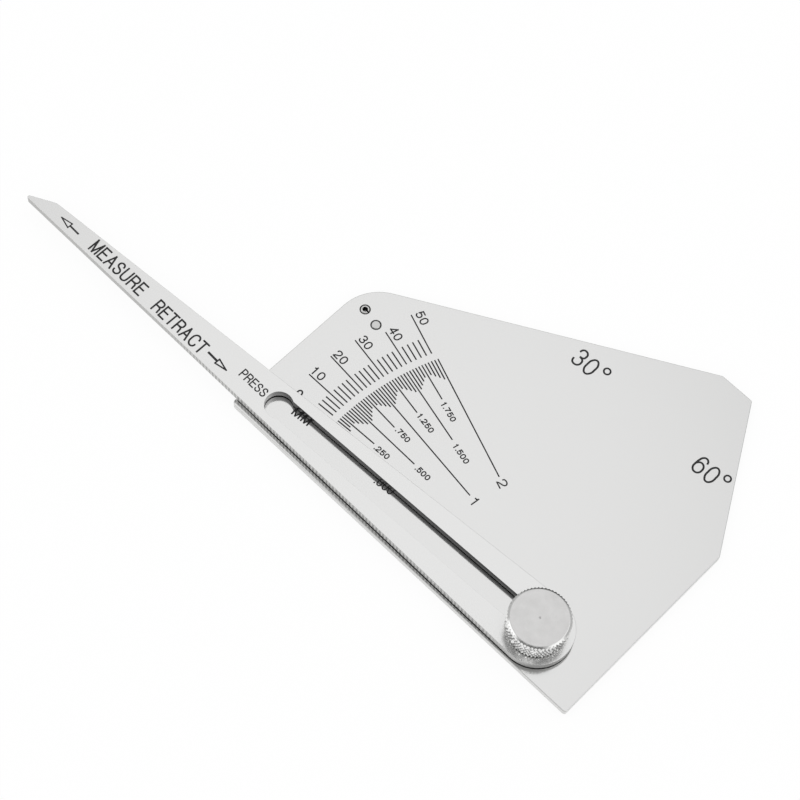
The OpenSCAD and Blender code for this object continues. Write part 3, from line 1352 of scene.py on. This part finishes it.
@dataclass
class Studio:
    """White floor, soft surround and the camera.

    The surround is darker in a band over the horizon at the back. The horizon's angles are in
    degrees, and the back's span is the share of a direction that points to the back.
    """

    floor: StudioFloor
    patches: Sequence[SkyPatch]
    level: float = 0.5
    horizon_share: float = 0.1
    horizon: Span = (5.0, 18.0)
    back: Span = (-0.5, 0.1)
    floor_half: float = 3.0
    floor_drop: float = 0.02 * MM
    target: Tuple[float, float, float] = (-44.543 * MM, 14.316 * MM, 0.0)
    azimuth: float = 38.126
    elevation: float = 64.289
    roll: float = 6.882
    distance: float = 381.18 * MM
    lens: float = 101.4
    sensor_width: float = 36.0
    clip_start: float = 10.0 * MM

    def build(self) -> None:
        """Builds the floor, the surround and the camera."""
        self._lay_floor()
        self._light()
        self._aim_camera()
        bpy.context.scene.view_settings.view_transform = "Standard"

    def _lay_floor(self) -> None:
        """Lays the floor just under the plate."""
        bm = bmesh.new()
        bmesh.ops.create_grid(bm, x_segments=1, y_segments=1, size=self.floor_half,
                              matrix=Matrix.Translation((0.0, 0.0, CAD_BOX[0].z - self.floor_drop)))
        new_object(bm, "studio_floor", [self.floor])

    def _light(self) -> None:
        """Lights the scene by a white surround that mirrors show with its soft patches."""
        world = bpy.data.worlds.new("studio_surround")
        world.use_nodes = True
        bpy.context.scene.world = world
        shading = Shading(world.node_tree)
        ray = shading.node("ShaderNodeTexCoord").outputs["Generated"]
        parts = shading.node("ShaderNodeSeparateXYZ", None, {0: ray}).outputs
        above = shading.rise(Signal(shading, parts["Z"]),
                             *(math.sin(math.radians(angle)) for angle in self.horizon))
        back = shading.rise(Signal(shading, parts["Y"]), *self.back)
        strength = self.level * (1.0 - (1.0 - self.horizon_share) * back * (1.0 - above))
        for patch in self.patches:
            middle = sky_direction(patch.azimuth, patch.elevation)
            facing = shading.signal("ShaderNodeVectorMath", {"operation": "DOT_PRODUCT"},
                                    {0: ray, 1: middle}, "Value")
            share = shading.rise(facing, math.cos(math.radians(patch.outer)),
                                 math.cos(math.radians(patch.inner)))
            strength = strength + share * patch.change
        mirrored = shading.signal("ShaderNodeLightPath", None, None, "Is Glossy Ray")
        sky = shading.node("ShaderNodeBackground", None,
                           {"Color": WHITE, "Strength": 1.0 + mirrored * (strength - 1.0)})
        shading.end(sky, "ShaderNodeOutputWorld")

    def _aim_camera(self) -> None:
        """Places the camera at the photograph's angle."""
        away = sky_direction(self.azimuth, self.elevation)
        lens = bpy.data.cameras.new("camera")
        lens.lens = self.lens
        lens.sensor_width = self.sensor_width
        lens.clip_start = self.clip_start
        camera = bpy.data.objects.new("camera", lens)
        camera.location = Vector(self.target) + away * self.distance
        camera.rotation_mode = "QUATERNION"
        camera.rotation_quaternion = ((-away).to_track_quat("-Z", "Y")
                                      @ Quaternion((0.0, 0.0, 1.0), math.radians(self.roll)))
        bpy.context.scene.collection.objects.link(camera)
        bpy.context.scene.camera = camera


def grey(level: float) -> Colour:
    """Gives an even grey."""
    return level, level, level


def main() -> None:
    """Builds the gauge piece by piece, then the studio."""
    logging.basicConfig(level=logging.INFO, format="%(message)s")
    cut_steel = (0.72, 0.72, 0.71)
    ink = (0.022, 0.022, 0.023)
    assembly = (
        SheetPart("gauge_plate", "marked_plate", Body.GAUGE, "plate_steel",
                  (SatinSteel("plate_satin", (0.775, 0.775, 0.77)),
                   MilledEdge("plate_wall", cut_steel), MilledEdge("plate_bore", cut_steel),
                   # Near black seat: painted shade round the pins.
                   MilledEdge("pin_seat_painted_shade", grey(0.1), roughness=0.5)),
                  seats=("spring_pin", "dowel_pin")),
        SheetPart("pointer_arm", "pointer", Body.ARM, "arm_steel",
                  (SatinSteel("arm_satin", (0.815, 0.815, 0.81), roughness=0.2, grain_turn=ARM_TURN),
                   ScoredEdge("arm_wall", (0.64, 0.64, 0.63)),
                   # Near black: painted shade on the slot's walls and the arm's undersides.
                   SlotEdge("arm_slot_wall_painted_shade", grey(0.09))),
                  axis_turn=ARM_TURN, slot_reach=66.0 * MM, edge_break=0.05 * MM),
        TurnedPart("pivot_stud", "threaded_stud", Body.GAUGE, "stud_steel",
                   (BrightSteel("stud_bright", grey(0.7)),)),
        TurnedPart("pivot_bush", "flanged_bush", Body.BUSH, "bush_steel",
                   (TurnedSteel("bush_turned", grey(0.66)),)),
        TurnedPart("clamp_washer", "thin_washer", Body.WASHER, "washer_steel",
                   (TurnedSteel("washer_turned", grey(0.7)),), foot_relief=0.04 * MM),
        TurnedPart("spring_pin", "rolled_pin", Body.GAUGE, "spring_pin_steel",
                   (BrightSteel("rolled_pin_steel", (0.74, 0.74, 0.73), roughness=0.3),
                    # Near black bore: painted shade inside the rolled pin.
                    BrightSteel("rolled_pin_bore_painted_shade", grey(0.02), roughness=0.6))),
        TurnedPart("dowel_pin", "solid_pin", Body.GAUGE, "dowel_steel",
                   (BrightSteel("solid_pin_steel", (0.68, 0.68, 0.67), roughness=0.22),)),
        ClampKnob("knob", "clamp_knob", Body.KNOB, "knob_steel",
                  (TurnedSteel("knob_turned", (0.71, 0.705, 0.7)),
                   KnurledSteel("knob_knurl_groove_shade", (0.87, 0.87, 0.86)),
                   BrightSteel("knob_slope", (0.92, 0.92, 0.91), roughness=0.05))),
        PlateScales(MarkInk("scale_ink", ink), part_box("gauge_plate")[1].z),
        ArmLegends(MarkInk("legend_ink", ink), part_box("pointer_arm")[1].z),
        Studio(StudioFloor("studio_white", grey(0.97)), (
            SkyPatch(-140.0, 67.0, 14.0, 40.0, 0.2),
            SkyPatch(-140.0, 67.0, 0.0, 17.0, 0.29),
            SkyPatch(-42.0, 35.0, 8.0, 24.0, 0.7),
            SkyPatch(95.0, 35.0, 8.0, 24.0, 0.58),
            SkyPatch(142.0, 62.0, 8.0, 22.0, 0.5),
            SkyPatch(2.0, 42.0, 0.0, 13.0, -0.34),
            SkyPatch(26.0, 44.0, 0.0, 13.0, -0.34),
            SkyPatch(50.0, 43.0, 0.0, 13.0, -0.34))),
    )
    for part in assembly:
        part.build()


if __name__ == "__main__":
    main()
